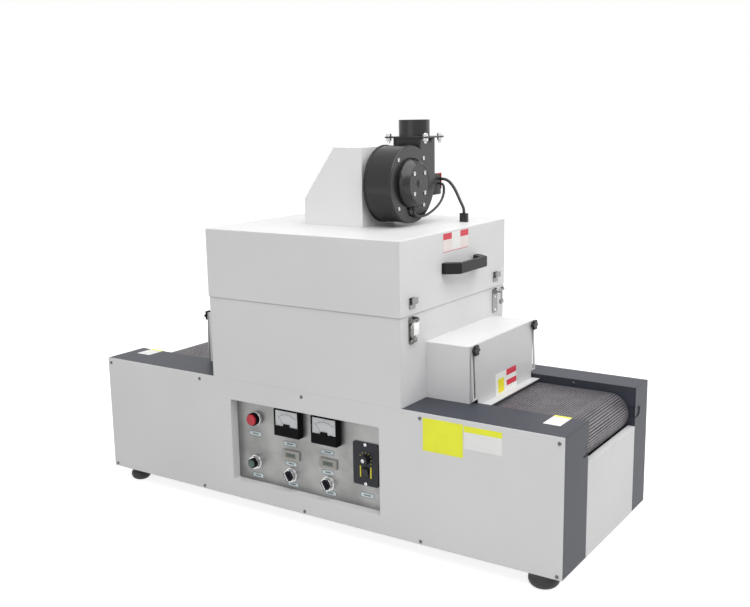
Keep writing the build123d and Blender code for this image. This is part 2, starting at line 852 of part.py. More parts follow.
# Terminal box on the blower's side
terminal_x = cover_x - terminal_setback - terminal_length / 2
with BuildPart() as terminal_box:
    with BuildSketch(Plane.XY.offset(blower_z - terminal_drop - terminal_height / 2)):
        with Locations((terminal_x, throat_right + blower_rim + terminal_depth / 2)):
            Rectangle(terminal_length, terminal_depth)
    extrude(amount=terminal_height)
    fillet(terminal_box.edges().filter_by(Axis.X).group_by(Axis.Y)[-1], terminal_corner)
save(terminal_box.part, "terminal_box")


# Radii for the arcs of a lead's route: as large as the two runs at each corner allow
def bend_radii(points):
    radii = []
    for before, corner, after in zip(points, points[1:], points[2:]):
        run_in = Vector(*corner) - Vector(*before)
        run_out = Vector(*after) - Vector(*corner)
        half_turn = math.radians(run_in.get_angle(run_out)) / 2
        shorter = min(run_in.length, run_out.length)
        radii.append(bend_share * shorter / math.tan(half_turn))
    return radii


# A lead's tube along its route, with its volume set against section times length
def lead_tube(name, points, radius):
    radii = bend_radii(points)
    with BuildPart() as tube:
        with BuildLine():
            route = FilletPolyline(*points, radius=radii)
        with BuildSketch(Plane(origin=route @ 0, z_dir=route % 0)):
            Circle(radius)
        sweep()
    ideal = math.pi * radius ** 2 * route.length
    print(name, "length", round(route.length, 1), "radii", [round(r, 1) for r in radii])
    print(name, "volume over section times length", round(tube.part.volume / ideal, 4))
    save(tube.part, name)


# Points of a lead given from the blower's face, its middle and its axis height
def from_blower(offsets):
    return [(cover_x + x, y, blower_z + z) for x, y, z in offsets]


# Motor lead: from the gland under the motor cover round below it to the terminal box
motor_lead_route = from_blower([
    (gland_stand_off, gland_y, -cover_radius - gland_drop),
    (gland_stand_off, gland_y, -61.5),
    (gland_stand_off, 9.0, -66.0),
    (gland_stand_off, 26.0, -69.0),
    (gland_stand_off, 48.0, -67.5),
    (gland_stand_off, 70.0, -62.0),
    (gland_stand_off, 92.0, -53.5),
    (gland_stand_off, 109.0, -43.0),
    (gland_stand_off, 118.5, -30.0),
    (6.0, 120.5, -18.0),
    (4.5, 118.0, -8.5),
    (-terminal_setback, 117.0, -8.5),
])
lead_tube("motor_lead", motor_lead_route, lead_radius)

# Supply lead: out of the terminal box and down to its plug, which stands on the lid
supply_lead_route = from_blower([
    (-terminal_setback, 118.5, 1.0),
    (3.5, 118.5, 1.0),
    (13.0, 121.5, -1.0),
    (23.0, 122.5, -9.5),
    (33.0, 121.0, -22.0),
    (41.0, 119.0, -35.5),
    (49.5, 116.5, -48.8),
    (56.6, 114.0, -58.8),
    (56.6, 114.0, plug_height - blower_axis_height),
])
lead_tube("supply_lead", supply_lead_route, supply_lead_radius)

# Plug at the end of the supply lead
plug_x, plug_y = supply_lead_route[-1][:2]
with BuildPart() as lead_plug:
    with BuildSketch(Plane.XY.offset(lid_top)):
        with Locations((plug_x, plug_y)):
            RectangleRounded(plug_width, plug_depth, plug_corner)
    extrude(amount=plug_height)
save(lead_plug.part, "lead_plug")

# Reflectors across the lid, with end plates that hold the lamp tubes
lamp_z = lid_bottom + lamp_rise
reflector_length = lid_depth - 2 * chamber_sheet
with BuildPart() as lamp_reflectors:
    for x in (-lamp_pitch / 2, lamp_pitch / 2):
        foot_left = (x - reflector_width / 2, lamp_z)
        foot_right = (x + reflector_width / 2, lamp_z)
        crown = (x, lamp_z + reflector_rise)
        inner_left = (x - reflector_width / 2 + reflector_sheet, lamp_z)
        inner_right = (x + reflector_width / 2 - reflector_sheet, lamp_z)
        inner_crown = (x, lamp_z + reflector_rise - reflector_sheet)
        with BuildSketch(Plane.XZ.offset(-chamber_middle)):
            with BuildLine():
                ThreePointArc(foot_left, crown, foot_right)
                Line(foot_right, inner_right)
                ThreePointArc(inner_right, inner_crown, inner_left)
                Line(inner_left, foot_left)
            make_face()
        extrude(amount=reflector_length / 2, both=True)
        for across in (-1, 1):
            plate_outside = chamber_middle + across * reflector_length / 2
            with BuildSketch(Plane.XZ.offset(-plate_outside)):
                with BuildLine():
                    ThreePointArc(foot_left, crown, foot_right)
                    Line(foot_right, foot_left)
                make_face()
                with Locations((x, lamp_z + lamp_tube_rise)):
                    Circle(lamp_tube_radius + fit_gap, mode=Mode.SUBTRACT)
            extrude(amount=across * reflector_end)
save(lamp_reflectors.part, "lamp_reflectors")

# Lamp tubes
with BuildPart() as uv_lamps:
    with BuildSketch(Plane.XZ.offset(-chamber_middle)):
        with Locations((-lamp_pitch / 2, lamp_z + lamp_tube_rise),
                       (lamp_pitch / 2, lamp_z + lamp_tube_rise)):
            Circle(lamp_tube_radius)
    extrude(amount=reflector_length / 2 - fit_gap, both=True)
save(uv_lamps.part, "uv_lamps")

# Pilot lamp: a stepped bezel with a lens
with BuildPart() as pilot_lamp:
    with BuildSketch(control_plane(column_lamp, row_lamp)):
        Circle(bezel_radius)
    extrude(amount=bezel_step)
    with BuildSketch(control_plane(column_lamp, row_lamp, bezel_step)):
        Circle(bezel_radius - bezel_step_width)
    extrude(amount=bezel_height - bezel_step)
    with BuildSketch(control_plane(column_lamp, row_lamp, bezel_height)):
        Circle(lamp_radius)
    extrude(amount=lamp_height - bezel_height)
    chamfer(pilot_lamp.faces().sort_by(Axis.Y)[0].edges(), lamp_edge)
save(pilot_lamp.part, "pilot_lamp")

# Stepped bezels of the push button and the two selectors
with BuildPart() as control_bezels:
    for column, row, bore in ((column_lamp, row_button, button_radius),
                              (column_left, row_selector, selector_radius),
                              (column_right, row_selector, selector_radius)):
        with BuildSketch(control_plane(column, row)):
            Circle(bezel_radius)
            Circle(bore + control_gap, mode=Mode.SUBTRACT)
        extrude(amount=bezel_step)
        with BuildSketch(control_plane(column, row, bezel_step)):
            Circle(bezel_radius - bezel_step_width)
            Circle(bore + control_gap, mode=Mode.SUBTRACT)
        extrude(amount=bezel_height - bezel_step)
save(control_bezels.part, "control_bezels")

# Meters: a deep frame with a sunk dial window, whose lower edge has a notch for the zero screw
window_middle = meter_height / 2 - meter_rim - meter_window_height / 2
window_bottom = window_middle - meter_window_height / 2
with BuildPart() as panel_meters:
    for column in (column_left, column_right):
        with BuildSketch(control_plane(column, row_meter)):
            RectangleRounded(meter_width, meter_height, meter_corner)
        extrude(amount=meter_proud - meter_step)
        with BuildSketch(control_plane(column, row_meter, meter_proud - meter_step)):
            Rectangle(meter_width - meter_step, meter_height - meter_step)
        extrude(amount=meter_step)
        with BuildSketch(control_plane(column, row_meter, meter_proud)):
            with Locations((0, window_middle)):
                Rectangle(meter_width - 2 * meter_rim, meter_window_height)
            with Locations((0, window_bottom + meter_notch_height / 2)):
                Rectangle(meter_notch_width, meter_notch_height, mode=Mode.SUBTRACT)
        extrude(amount=-meter_window_depth, mode=Mode.SUBTRACT)
save(panel_meters.part, "panel_meters")

# Hour counters with their sunk display windows
with BuildPart() as hour_counters:
    for column in (column_left, column_right):
        with BuildSketch(control_plane(column, row_counter)):
            RectangleRounded(counter_width, counter_height, counter_corner)
        extrude(amount=counter_proud)
        with BuildSketch(control_plane(column, row_counter, counter_proud)):
            Rectangle(counter_window_width, counter_window_height)
        extrude(amount=-counter_window_depth, mode=Mode.SUBTRACT)
save(hour_counters.part, "hour_counters")

# Speed controller's face with the well for its rocker
with BuildPart() as speed_plate:
    with BuildSketch(control_plane(column_speed, row_speed_plate)):
        RectangleRounded(speed_plate_width, speed_plate_height, speed_plate_corner)
    extrude(amount=speed_plate_proud)
    with BuildSketch(control_plane(column_speed, row_rocker, speed_plate_proud)):
        Rectangle(rocker_width + 2 * control_gap, rocker_height + 2 * control_gap)
    extrude(amount=-speed_plate_proud, mode=Mode.SUBTRACT)
save(speed_plate.part, "speed_plate")

# Push button
button_seat = control_gap + button_travel
with BuildPart() as push_button:
    with BuildSketch(control_plane(column_lamp, row_button, button_seat)):
        Circle(button_radius)
    extrude(amount=button_proud - button_seat)
    chamfer(push_button.faces().sort_by(Axis.Y)[0].edges(), control_edge)
save(push_button.part, "push_button")

# Selectors: a round body with a raised grip, turned to its rest position
for name, column in (("left", column_left), ("right", column_right)):
    with BuildPart() as selector:
        with BuildSketch(control_plane(column, row_selector, control_gap)):
            Circle(selector_radius)
        extrude(amount=selector_collar - control_gap)
        with BuildSketch(control_plane(column, row_selector, selector_collar)):
            SlotOverall(selector_grip_length, selector_grip_width, rotation=90 + selector_rest_turn)
        extrude(amount=selector_proud - selector_collar)
    save(selector.part, f"selector_{name}")

# Speed knob
with BuildPart() as speed_knob:
    with BuildSketch(control_plane(column_speed, row_speed_knob, speed_plate_proud + control_gap)):
        Circle(speed_knob_radius)
    extrude(amount=speed_knob_height - speed_plate_proud)
    chamfer(speed_knob.faces().sort_by(Axis.Y)[0].edges(), control_edge)
save(speed_knob.part, "speed_knob")

# Rocker switch, pressed at its upper half
rocker_half = rocker_height / 2
with BuildPart() as rocker_switch:
    rocker_plane = Plane(
        origin=(column_speed, plate_face - speed_plate_proud, pan_bottom + row_rocker),
        x_dir=(0, -1, 0),
        z_dir=(1, 0, 0),
    )
    with BuildSketch(rocker_plane):
        with BuildLine():
            Polyline(
                (-rocker_well, rocker_foot_height / 2),
                (0, rocker_half),
                (rocker_proud / 2, 0),
                (rocker_proud, -rocker_half),
                (-rocker_well, -rocker_foot_height / 2),
                close=True,
            )
        make_face()
    extrude(amount=rocker_width / 2, both=True)
save(rocker_switch.part, "rocker_switch")
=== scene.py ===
import math

import bmesh
import bpy
from mathutils import Matrix, Vector


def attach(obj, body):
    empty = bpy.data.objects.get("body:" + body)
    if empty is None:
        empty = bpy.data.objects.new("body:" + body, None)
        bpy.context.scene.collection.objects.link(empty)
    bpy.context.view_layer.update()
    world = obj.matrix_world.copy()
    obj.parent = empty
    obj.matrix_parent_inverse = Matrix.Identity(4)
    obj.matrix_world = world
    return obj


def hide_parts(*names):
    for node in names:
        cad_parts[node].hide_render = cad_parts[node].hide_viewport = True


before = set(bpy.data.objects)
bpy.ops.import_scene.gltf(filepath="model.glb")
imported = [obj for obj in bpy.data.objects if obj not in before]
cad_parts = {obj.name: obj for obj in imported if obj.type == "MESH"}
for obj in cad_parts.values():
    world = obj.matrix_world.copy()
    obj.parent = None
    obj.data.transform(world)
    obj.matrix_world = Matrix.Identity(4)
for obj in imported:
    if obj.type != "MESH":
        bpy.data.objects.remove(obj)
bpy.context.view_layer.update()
mm = 0.001
ends = {"exit": 1, "entry": -1}
finishes = {}
print("frame loaded")


# Material helpers: each finish is kept under its own name
def link(material, source, target):
    material.node_tree.links.new(source, target)


def addNode(material, kind, **sockets):
    node = material.node_tree.nodes.new(kind)
    for name, value in sockets.items():
        node.inputs[name].default_value = value
    return node


def newMaterial(name, color, metallic, roughness):
    material = bpy.data.materials.new(name)
    material.use_nodes = True
    shader = material.node_tree.nodes["Principled BSDF"]
    shader.inputs["Base Color"].default_value = (*color, 1)
    shader.inputs["Metallic"].default_value = metallic
    shader.inputs["Roughness"].default_value = roughness
    finishes[name] = material
    return material, shader


def objectSpace(material, scale=(1, 1, 1)):
    coord = material.node_tree.nodes.new("ShaderNodeTexCoord")
    mapping = material.node_tree.nodes.new("ShaderNodeMapping")
    mapping.inputs["Scale"].default_value = scale
    link(material, coord.outputs["Object"], mapping.inputs["Vector"])
    return mapping.outputs["Vector"]


def noise(material, vector, scale, detail=2.0, roughness=0.5):
    node = addNode(material, "ShaderNodeTexNoise", Scale=scale, Detail=detail, Roughness=roughness)
    link(material, vector, node.inputs["Vector"])
    return node.outputs["Fac"]


def ramp(material, factor, low, high, lowValue, highValue):
    node = addNode(material, "ShaderNodeMapRange")
    for index, value in enumerate((low, high, lowValue, highValue), start=1):
        node.inputs[index].default_value = value
    link(material, factor, node.inputs["Value"])
    return node.outputs["Result"]


def mixColor(material, factor, first, second):
    node = material.node_tree.nodes.new("ShaderNodeMix")
    node.data_type = "RGBA"
    node.inputs["A"].default_value = (*first, 1)
    node.inputs["B"].default_value = (*second, 1)
    link(material, factor, node.inputs["Factor"])
    return node.outputs["Result"]


def bump(material, shader, height, strength, distance, edge):
    node = addNode(material, "ShaderNodeBump", Strength=strength, Distance=distance)
    link(material, height, node.inputs["Height"])
    softEdge = addNode(material, "ShaderNodeBevel", Radius=edge)
    softEdge.samples = 4
    link(material, softEdge.outputs["Normal"], node.inputs["Normal"])
    link(material, node.outputs["Normal"], shader.inputs["Normal"])


def tint(color, share):
    return tuple(min(1.0, channel * share) for channel in color)


# The colour drifts by a share of itself, and the roughness by a fixed spread
def driftColor(material, shader, cloud, color, drift):
    blend = ramp(material, cloud, 0.3, 0.7, 0, 1)
    tone = mixColor(material, blend, tint(color, 1 - drift), tint(color, 1 + drift))
    link(material, tone, shader.inputs["Base Color"])


def driftRoughness(material, shader, grain, roughness, spread):
    drifted = ramp(material, grain, 0.3, 0.7, roughness - spread, roughness + spread)
    link(material, drifted, shader.inputs["Roughness"])


# Powder coat: fine orange peel, a slow drift in tone and edges that catch the light
def powderCoat(name, color, roughness, grain=700, peel=0.12, drift=0.03, edge=0.0012, shine=0.5):
    material, shader = newMaterial(name, color, 0.0, roughness)
    shader.inputs["Specular IOR Level"].default_value = shine
    space = objectSpace(material)
    driftColor(material, shader, noise(material, space, scale=4.0, detail=3.0), color, drift)
    fine = noise(material, space, grain)
    driftRoughness(material, shader, fine, roughness, spread=0.05)
    bump(material, shader, fine, peel, distance=0.0004, edge=edge)


# Bare metal: grain drawn out along one direction
def drawnMetal(name, color, roughness, stretch, cloudDrift=0.1, strength=0.1):
    material, shader = newMaterial(name, color, 1.0, roughness)
    grain = noise(material, objectSpace(material, stretch), scale=1.0, detail=4.0, roughness=0.6)
    cloud = noise(material, objectSpace(material), scale=14.0, detail=4.0)
    driftColor(material, shader, cloud, color, cloudDrift)
    driftRoughness(material, shader, grain, roughness, spread=0.1)
    bump(material, shader, grain, strength, distance=0.0002, edge=0.0004)


# Moulded plastic, rubber or lacquer: faint texture, no metal
def moulded(name, color, roughness, grain=1500, strength=0.1, drift=0.15, coat=0.0, shine=0.5):
    material, shader = newMaterial(name, color, 0.0, roughness)
    shader.inputs["Specular IOR Level"].default_value = shine
    shader.inputs["Coat Weight"].default_value = coat
    shader.inputs["Coat Roughness"].default_value = 0.08
    space = objectSpace(material)
    driftColor(material, shader, noise(material, space, scale=30.0, detail=3.0), color, drift)
    fine = noise(material, space, grain)
    driftRoughness(material, shader, fine, roughness, spread=0.06)
    bump(material, shader, fine, strength, distance=0.0002, edge=0.0006)


# Clear quartz or acrylic
def clearMaterial(name, color, roughness):
    material, shader = newMaterial(name, color, 0.0, roughness)
    shader.inputs["Transmission Weight"].default_value = 1.0
    shader.inputs["IOR"].default_value = 1.46
    fine = noise(material, objectSpace(material), scale=60.0)
    link(material, ramp(material, fine, 0.3, 0.7, roughness, roughness + 0.04), shader.inputs["Roughness"])


powderCoat("panelGrey", (0.66, 0.66, 0.665), 0.42)
# A darker copy of the panel grey for the shields and end panels: painted shade, to tone down the light they
# catch
powderCoat("panelGreyPaintedShade", (0.57, 0.57, 0.575), 0.42)
powderCoat("ductWhite", (0.76, 0.76, 0.765), 0.42)
powderCoat("frameGrey", (0.042, 0.045, 0.058), 0.4, shine=0.15, drift=0.06, peel=0.2, edge=0.002)
powderCoat("panSteel", (0.5, 0.5, 0.5), 0.5)
drawnMetal("stainless", (0.27, 0.27, 0.267), 0.4, (6, 40, 900), cloudDrift=0.25)
drawnMetal("drumSteel", (0.11, 0.1, 0.1), 0.3, (900, 4, 900), strength=0.06)
moulded("castBlack", (0.05, 0.05, 0.055), 0.5, grain=600, strength=0.3)
moulded("footRubber", (0.012, 0.012, 0.012), 0.55, grain=900, strength=0.3)
drawnMetal("nickel", (0.78, 0.78, 0.77), 0.16, (300, 300, 300), strength=0.05)
drawnMetal("chrome", (0.62, 0.62, 0.62), 0.1, (200, 200, 200), cloudDrift=0.03, strength=0.02)
moulded("knobBlack", (0.012, 0.012, 0.012), 0.35, shine=0.35)
moulded("handleBlack", (0.014, 0.014, 0.014), 0.36, grain=1200, strength=0.2, shine=0.2)
powderCoat("blowerBlack", (0.007, 0.007, 0.008), 0.25, grain=900, peel=0.15, drift=0.2)
moulded("terminalBlack", (0.012, 0.012, 0.012), 0.45)
moulded("leadBlack", (0.014, 0.014, 0.014), 0.38, grain=500, strength=0.15)
clearMaterial("quartz", (0.93, 0.96, 1.0), 0.02)
drawnMetal("reflector", (0.85, 0.86, 0.87), 0.18, (60, 4, 60), strength=0.03)
moulded("lensRed", (0.42, 0.0, 0.012), 0.32, strength=0.02, coat=0.1)
moulded("buttonGreen", (0.012, 0.06, 0.04), 0.25, coat=0.3)
moulded("meterBlack", (0.006, 0.006, 0.007), 0.4, shine=0.04)
moulded("counterBeige", (0.34, 0.325, 0.3), 0.45)
moulded("controlBlack", (0.01, 0.011, 0.016), 0.4, shine=0.3)
moulded("dialWhite", (0.52, 0.52, 0.535), 0.5, drift=0.03)
moulded("printBlack", (0.02, 0.02, 0.025), 0.5)
moulded("printYellow", (0.82, 0.72, 0.02), 0.45, drift=0.03)
moulded("printRed", (0.62, 0.02, 0.05), 0.4, drift=0.03)
moulded("stickerYellow", (0.84, 0.86, 0.03), 0.4, drift=0.03)
moulded("stickerWhite", (0.8, 0.8, 0.78), 0.4, drift=0.03)
moulded("stickerPink", (0.78, 0.7, 0.68), 0.4, drift=0.03)
moulded("labelBlue", (0.6, 0.68, 0.7), 0.35, drift=0.04)
moulded("displayGreen", (0.07, 0.1, 0.075), 0.2, drift=0.1, coat=0.5)
moulded("inlayWhite", (0.8, 0.8, 0.8), 0.4, drift=0.03)
moulded("ceramic", (0.72, 0.7, 0.66), 0.5, drift=0.05)
moulded("labelRim", (0.12, 0.15, 0.16), 0.4, drift=0.04)
moulded("displayDark", (0.03, 0.045, 0.035), 0.3)
# A darker copy of the nickel for the latch plates, keepers and bars: painted dark reflection on the same
# plating as the levers
drawnMetal("nickelPaintedDarkReflection", (0.26, 0.255, 0.25), 0.24, (300, 300, 300), strength=0.05)
drawnMetal("screwSteel", (0.13, 0.13, 0.13), 0.2, (300, 300, 300), strength=0.05)
clearMaterial("meterClear", (0.97, 0.98, 0.98), 0.02)
moulded("wireRed", (0.6, 0.01, 0.03), 0.35)
moulded("beltAlong", (0.05, 0.052, 0.06), 0.4, grain=900, strength=0.4, drift=0.2)
# The belt's cross strands in a lighter, pinkish grey than the along strands: painted highlight, and painted
# reflection of the drum
moulded("beltCrossPaintedHighlight", (0.2, 0.186, 0.2), 0.26, grain=900, strength=0.3, drift=0.15, shine=0.8)
moulded("beltEdge", (0.06, 0.062, 0.07), 0.42, grain=900, strength=0.4, drift=0.1)
print("materials made:", len(finishes))


def nodesNamed(start):
    return [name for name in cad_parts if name.startswith(start)]


nodeFinish = {
    "panelGrey": ["front_panel", "back_panel", "chamber", "hood_exit", "hood_entry", "lid"],
    # The shields and end panels take the darker copy of the panel grey: painted shade
    "panelGreyPaintedShade": ["shield_exit", "shield_entry", "end_panels"],
    "ductWhite": ["duct_box"],
    "frameGrey": ["front_rail", "back_rail"],
    "panSteel": ["bottom_pan"],
    "stainless": ["control_plate"],
    "drumSteel": ["drum_exit", "drum_entry"],
    "castBlack": ["shaft_blocks"],
    "footRubber": ["feet"],
    "nickel": nodesNamed("latch_lever"),
    # Latch plates, keepers and bars take the darker copy of the nickel: painted dark reflection
    "nickelPaintedDarkReflection": ["latch_plates", "lid_keepers", *nodesNamed("latch_bar")],
    "handleBlack": ["lid_handles"],
    "blowerBlack": ["blower_housing", "motor_cover", "outlet_collar"],
    "terminalBlack": ["terminal_box", "lead_plug"],
    "leadBlack": ["motor_lead", "supply_lead"],
    "quartz": ["uv_lamps"],
    "reflector": ["lamp_reflectors"],
    "lensRed": ["pilot_lamp"],
    "chrome": ["control_bezels"],
    "meterBlack": ["panel_meters", "push_button"],
    "counterBeige": ["hour_counters"],
    "controlBlack": ["speed_plate", "speed_knob", "rocker_switch", "selector_left", "selector_right"],
    # The belt node takes the lighter pinkish cross-strand finish: painted highlight
    "beltCrossPaintedHighlight": ["belt"],
    "knobBlack": nodesNamed("star_knob"),
}
for finishName, nodeNames in nodeFinish.items():
    for nodeName in nodeNames:
        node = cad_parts[nodeName]
        node.data.materials.clear()
        node.data.materials.append(finishes[finishName])


# Rounds every edge that turns by more than an angle in degrees
def addRounding(piece, width, segments, fromAngle):
    rounding = piece.modifiers.new("rounding", "BEVEL")
    rounding.width = width * mm
    rounding.segments = segments
    rounding.limit_method = "ANGLE"
    rounding.angle_limit = math.radians(fromAngle)


roundedNodes = {"lid_handles": 0.8, "outlet_collar": 0.5, "terminal_box": 0.8, "lead_plug": 0.6}
for nodeName, width in roundedNodes.items():
    addRounding(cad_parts[nodeName], width, segments=3, fromAngle=25)
unpainted = set(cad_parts) - {name for names in nodeFinish.values() for name in names}
print("nodes without a finish:", sorted(unpainted))


# Shape helpers: all sizes are in millimetres until a piece is finished
def finishPiece(name, shape, finishNames, body, smooth=False, bevelWidth=0.0, sharpFrom=38):
    bmesh.ops.scale(shape, vec=(mm, mm, mm), verts=shape.verts)
    mesh = bpy.data.meshes.new(name)
    if smooth:
        for face in shape.faces:
            face.smooth = True
        for edge in shape.edges:
            if len(edge.link_faces) == 2 and edge.calc_face_angle(0) > math.radians(sharpFrom):
                edge.smooth = False
    shape.to_mesh(mesh)
    shape.free()
    piece = bpy.data.objects.new(name, mesh)
    bpy.context.scene.collection.objects.link(piece)
    for finishName in [finishNames] if isinstance(finishNames, str) else finishNames:
        mesh.materials.append(finishes[finishName])
    if bevelWidth:
        addRounding(piece, bevelWidth, segments=2, fromAngle=40)
    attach(piece, body)
    return piece


def partsOf(geometry, kind):
    return [part for part in geometry if isinstance(part, kind)]


# A bar in the space of a placed frame, centred on it
def addBar(shape, place, size, finish=0):
    made = bmesh.ops.create_cube(shape, size=1.0, matrix=place @ Matrix.Diagonal((*size, 1)))["verts"]
    for face in {face for vert in made for face in vert.link_faces}:
        face.material_index = finish


# A bar between any two opposite corners
def addBlock(shape, corner, opposite, finish=0):
    low, high = Vector(map(min, corner, opposite)), Vector(map(max, corner, opposite))
    addBar(shape, Matrix.Translation((low + high) / 2), high - low, finish)


# Frame at a point whose z runs along a direction
def aim(start, direction):
    return Matrix.Translation(start) @ Vector(direction).to_track_quat("Z", "Y").to_matrix().to_4x4()


def addRod(shape, start, end, radius, sides):
    start, end = Vector(start), Vector(end)
    along = end - start
    return bmesh.ops.create_cone(
        shape, cap_ends=True, cap_tris=False, segments=sides, radius1=radius, radius2=radius,
        depth=along.length, matrix=aim((start + end) / 2, along))["verts"]


# Frame at an origin with x to the right and z outwards
def faceFrame(origin, right, out):
    right, out = Vector(right), Vector(out)
    return Matrix.Translation(origin) @ Matrix((right, out.cross(right), out)).transposed().to_4x4()


# A profile of (radius, height) points turned round an axis
def addTurned(shape, base, direction, profile, steps=32, finish=0):
    place = aim(base, direction)
    verts = [shape.verts.new(place @ Vector((radius, 0, height))) for radius, height in profile]
    edges = [shape.edges.new(pair) for pair in zip(verts, verts[1:])]
    axis = Vector(direction).normalized()
    bmesh.ops.spin(
        shape, geom=verts + edges, cent=base, axis=axis, dvec=(0, 0, 0), angle=math.tau,
        steps=steps, use_merge=True, use_normal_flip=False, use_duplicate=False)
    bmesh.ops.remove_doubles(shape, verts=shape.verts, dist=0.0005)
    faces = [face for face in shape.faces if not face.tag]
    for face in faces:
        face.material_index = finish
        face.tag = True
    bmesh.ops.recalc_face_normals(shape, faces=faces)


# Pan head with a cross recess, in units of its radius and height
screwShape = {
    "cells": 5,
    "crossHalf": 0.1,
    "crossReach": 0.5,
    "innerShare": 0.62,
    "crown": 0.45,
    "recess": 0.45,
}


# A small grid whose rim is pulled onto a circle, and whose middle cross is sunk
def addScrew(shape, centre, direction, radius, height, turn):
    cells = screwShape["cells"]
    made = bmesh.ops.create_grid(shape, x_segments=cells, y_segments=cells, size=1.0)["verts"]
    cross = []
    for face in {face for vert in made for face in vert.link_faces}:
        near, far = sorted(abs(value) for value in face.calc_center_median().xy)
        if near < screwShape["crossHalf"] and far < screwShape["crossReach"]:
            cross.append(face)
    rim = [edge for edge in shape.edges if edge.is_boundary and edge.verts[0] in made]
    for vert in made:
        if max(abs(vert.co.x), abs(vert.co.y)) > 0.99:
            vert.co = vert.co.normalized()
        else:
            vert.co *= screwShape["innerShare"]
        vert.co.z = 1 - screwShape["crown"] * vert.co.length ** 2
    sunk = partsOf(bmesh.ops.extrude_face_region(shape, geom=cross)["geom"], bmesh.types.BMVert)
    bmesh.ops.delete(shape, geom=cross, context="FACES_ONLY")
    bmesh.ops.translate(shape, vec=(0, 0, -screwShape["recess"]), verts=sunk)
    skirt = partsOf(bmesh.ops.extrude_edge_only(shape, edges=rim)["geom"], bmesh.types.BMVert)
    for vert in skirt:
        vert.co.z = 0
    everyVert = [vert for vert in {*made, *skirt, *sunk} if vert.is_valid]
    place = aim(centre, direction) @ Matrix.Rotation(turn, 4, "Z")
    bmesh.ops.transform(shape, matrix=place @ Matrix.Diagonal((radius, radius, height, 1)), verts=everyVert)
    base = [edge for edge in shape.edges if edge.is_boundary and edge.verts[0] in skirt]
    bmesh.ops.holes_fill(shape, edges=base, sides=0)


# Hexagonal head or nut with its rims bevelled by a share of its width
def addHex(shape, start, end, acrossFlats, bevelShare=0.06):
    made = addRod(shape, start, end, acrossFlats / math.sqrt(3), sides=6)
    rims = {edge for vert in made for edge in vert.link_edges if edge.calc_face_angle(0) > math.radians(80)}
    bmesh.ops.bevel(
        shape, geom=list(rims), offset=acrossFlats * bevelShare, offset_type="OFFSET", segments=1,
        profile=0.5, affect="EDGES", material=-1)


# Camera, floor and light
cameraSetup = {
    "place": (1.15363, -1.67525, 0.81967),
    "yaw": -0.5881,
    "pitch": 0.1916,
    "roll": -0.0164,
    "focalPixels": 984.06,
    "pictureWidth": 750,
    "sensor": 36.0,
}


def makeCamera(setup):
    yaw, pitch, roll = setup["yaw"], setup["pitch"], setup["roll"]
    ahead = Vector((math.sin(yaw) * math.cos(pitch), math.cos(yaw) * math.cos(pitch), -math.sin(pitch)))
    level = Vector((math.cos(yaw), -math.sin(yaw), 0))
    above = level.cross(ahead)
    right = level * math.cos(roll) + above * math.sin(roll)
    up = above * math.cos(roll) - level * math.sin(roll)
    data = bpy.data.cameras.new("photoCamera")
    data.sensor_width = setup["sensor"]
    data.lens = setup["focalPixels"] * setup["sensor"] / setup["pictureWidth"]
    data.clip_start = 0.01
    data.clip_end = 50.0
    camera = bpy.data.objects.new("photoCamera", data)
    turned = Matrix((right, up, -ahead)).transposed().to_4x4()
    camera.matrix_world = Matrix.Translation(setup["place"]) @ turned
    bpy.context.scene.collection.objects.link(camera)
    bpy.context.scene.camera = camera


makeCamera(cameraSetup)

lighting = {
    "world": 0.4,
    "top": {"place": (1.2, -0.4, 3.1), "aim": (0.1, 0, 0.3), "size": (4.8, 4.0), "power": 156.0},
    "right": {"place": (2.6, -0.6, 2.4), "aim": (0.3, 0, 0.5), "size": (1.6, 1.6), "power": 4.0},
    "front": {"place": (0.2, -3.6, 1.3), "aim": (0.1, 0, 0.4), "size": (2.6, 1.6), "power": 12.0},
    "back": {"place": (1.9, 3.0, 1.1), "aim": (0.1, 0, 0.6), "size": (1.8, 1.6), "power": 4.5},
    "floorSize": 14.0,
    "floorColor": (0.52, 0.52, 0.52),
    "floorLift": 0.82,
}


def makeLight(name, setup):
    data = bpy.data.lights.new(name, "AREA")
    data.shape = "RECTANGLE"
    data.size, data.size_y = setup["size"]
    data.energy = setup["power"]
    light = bpy.data.objects.new(name, data)
    light.matrix_world = aim(setup["place"], Vector(setup["place"]) - Vector(setup["aim"]))
    bpy.context.scene.collection.objects.link(light)


# 1 for rays that come from the camera, a glossy or a clear piece, so that they all meet a white studio
def seenRays(owner):
    nodes, links = owner.node_tree.nodes, owner.node_tree.links
    path = nodes.new("ShaderNodeLightPath")
    seen = path.outputs["Is Camera Ray"]
    for kind in ("Is Glossy Ray", "Is Transmission Ray"):
        either = nodes.new("ShaderNodeMath")
        either.operation = "MAXIMUM"
        links.new(seen, either.inputs[0])
        links.new(path.outputs[kind], either.inputs[1])
        seen = either.outputs[0]
    return seen


